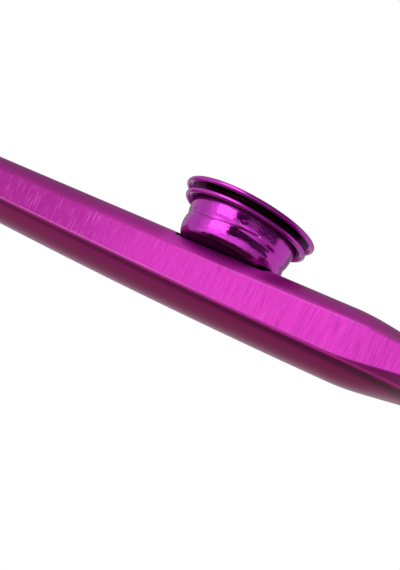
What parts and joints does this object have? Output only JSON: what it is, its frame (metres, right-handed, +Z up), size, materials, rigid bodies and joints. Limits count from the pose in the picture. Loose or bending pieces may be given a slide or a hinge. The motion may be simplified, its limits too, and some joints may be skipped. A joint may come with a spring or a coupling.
{
  "type": "kazoo",
  "caption": "Tapered metal kazoo tube with flat sides, a pressed oval mouth and a round turret whose push-in ring holds a buzzing membrane.",
  "frame": {"origin": "under the middle of the tube's length, on the plane that the tube's lowest line touches", "axes": "+X from the outlet to the mouth, +Z up along the turret's axis"},
  "size_m": [0.12, 0.0276, 0.0236],
  "materials": {
    "anodised": "gloss",
    "film": "satin",
    "card": "matte"
  },
  "bodies": {
    "body": {"body_tube": "anodised", "turret_cup": "anodised", "turret_eyelet": "anodised"},
    "membrane": {"membrane_film": "film", "membrane_ring": "card"},
    "cap": {"cap_ring": "anodised"}
  },
  "joints": [
    {"name": "cap_lift", "type": "slide", "parent": "body", "child": "cap", "axis": [0, 0, 1], "range_m": [0, 0.02]},
    {"name": "membrane_lift", "type": "slide", "parent": "body", "child": "membrane", "axis": [0, 0, 1], "range_m": [0, 0.008]}
  ],
  "couplings": [
    {"joint": "membrane_lift", "follows": "cap_lift", "ratio": 0.4}
  ]
}
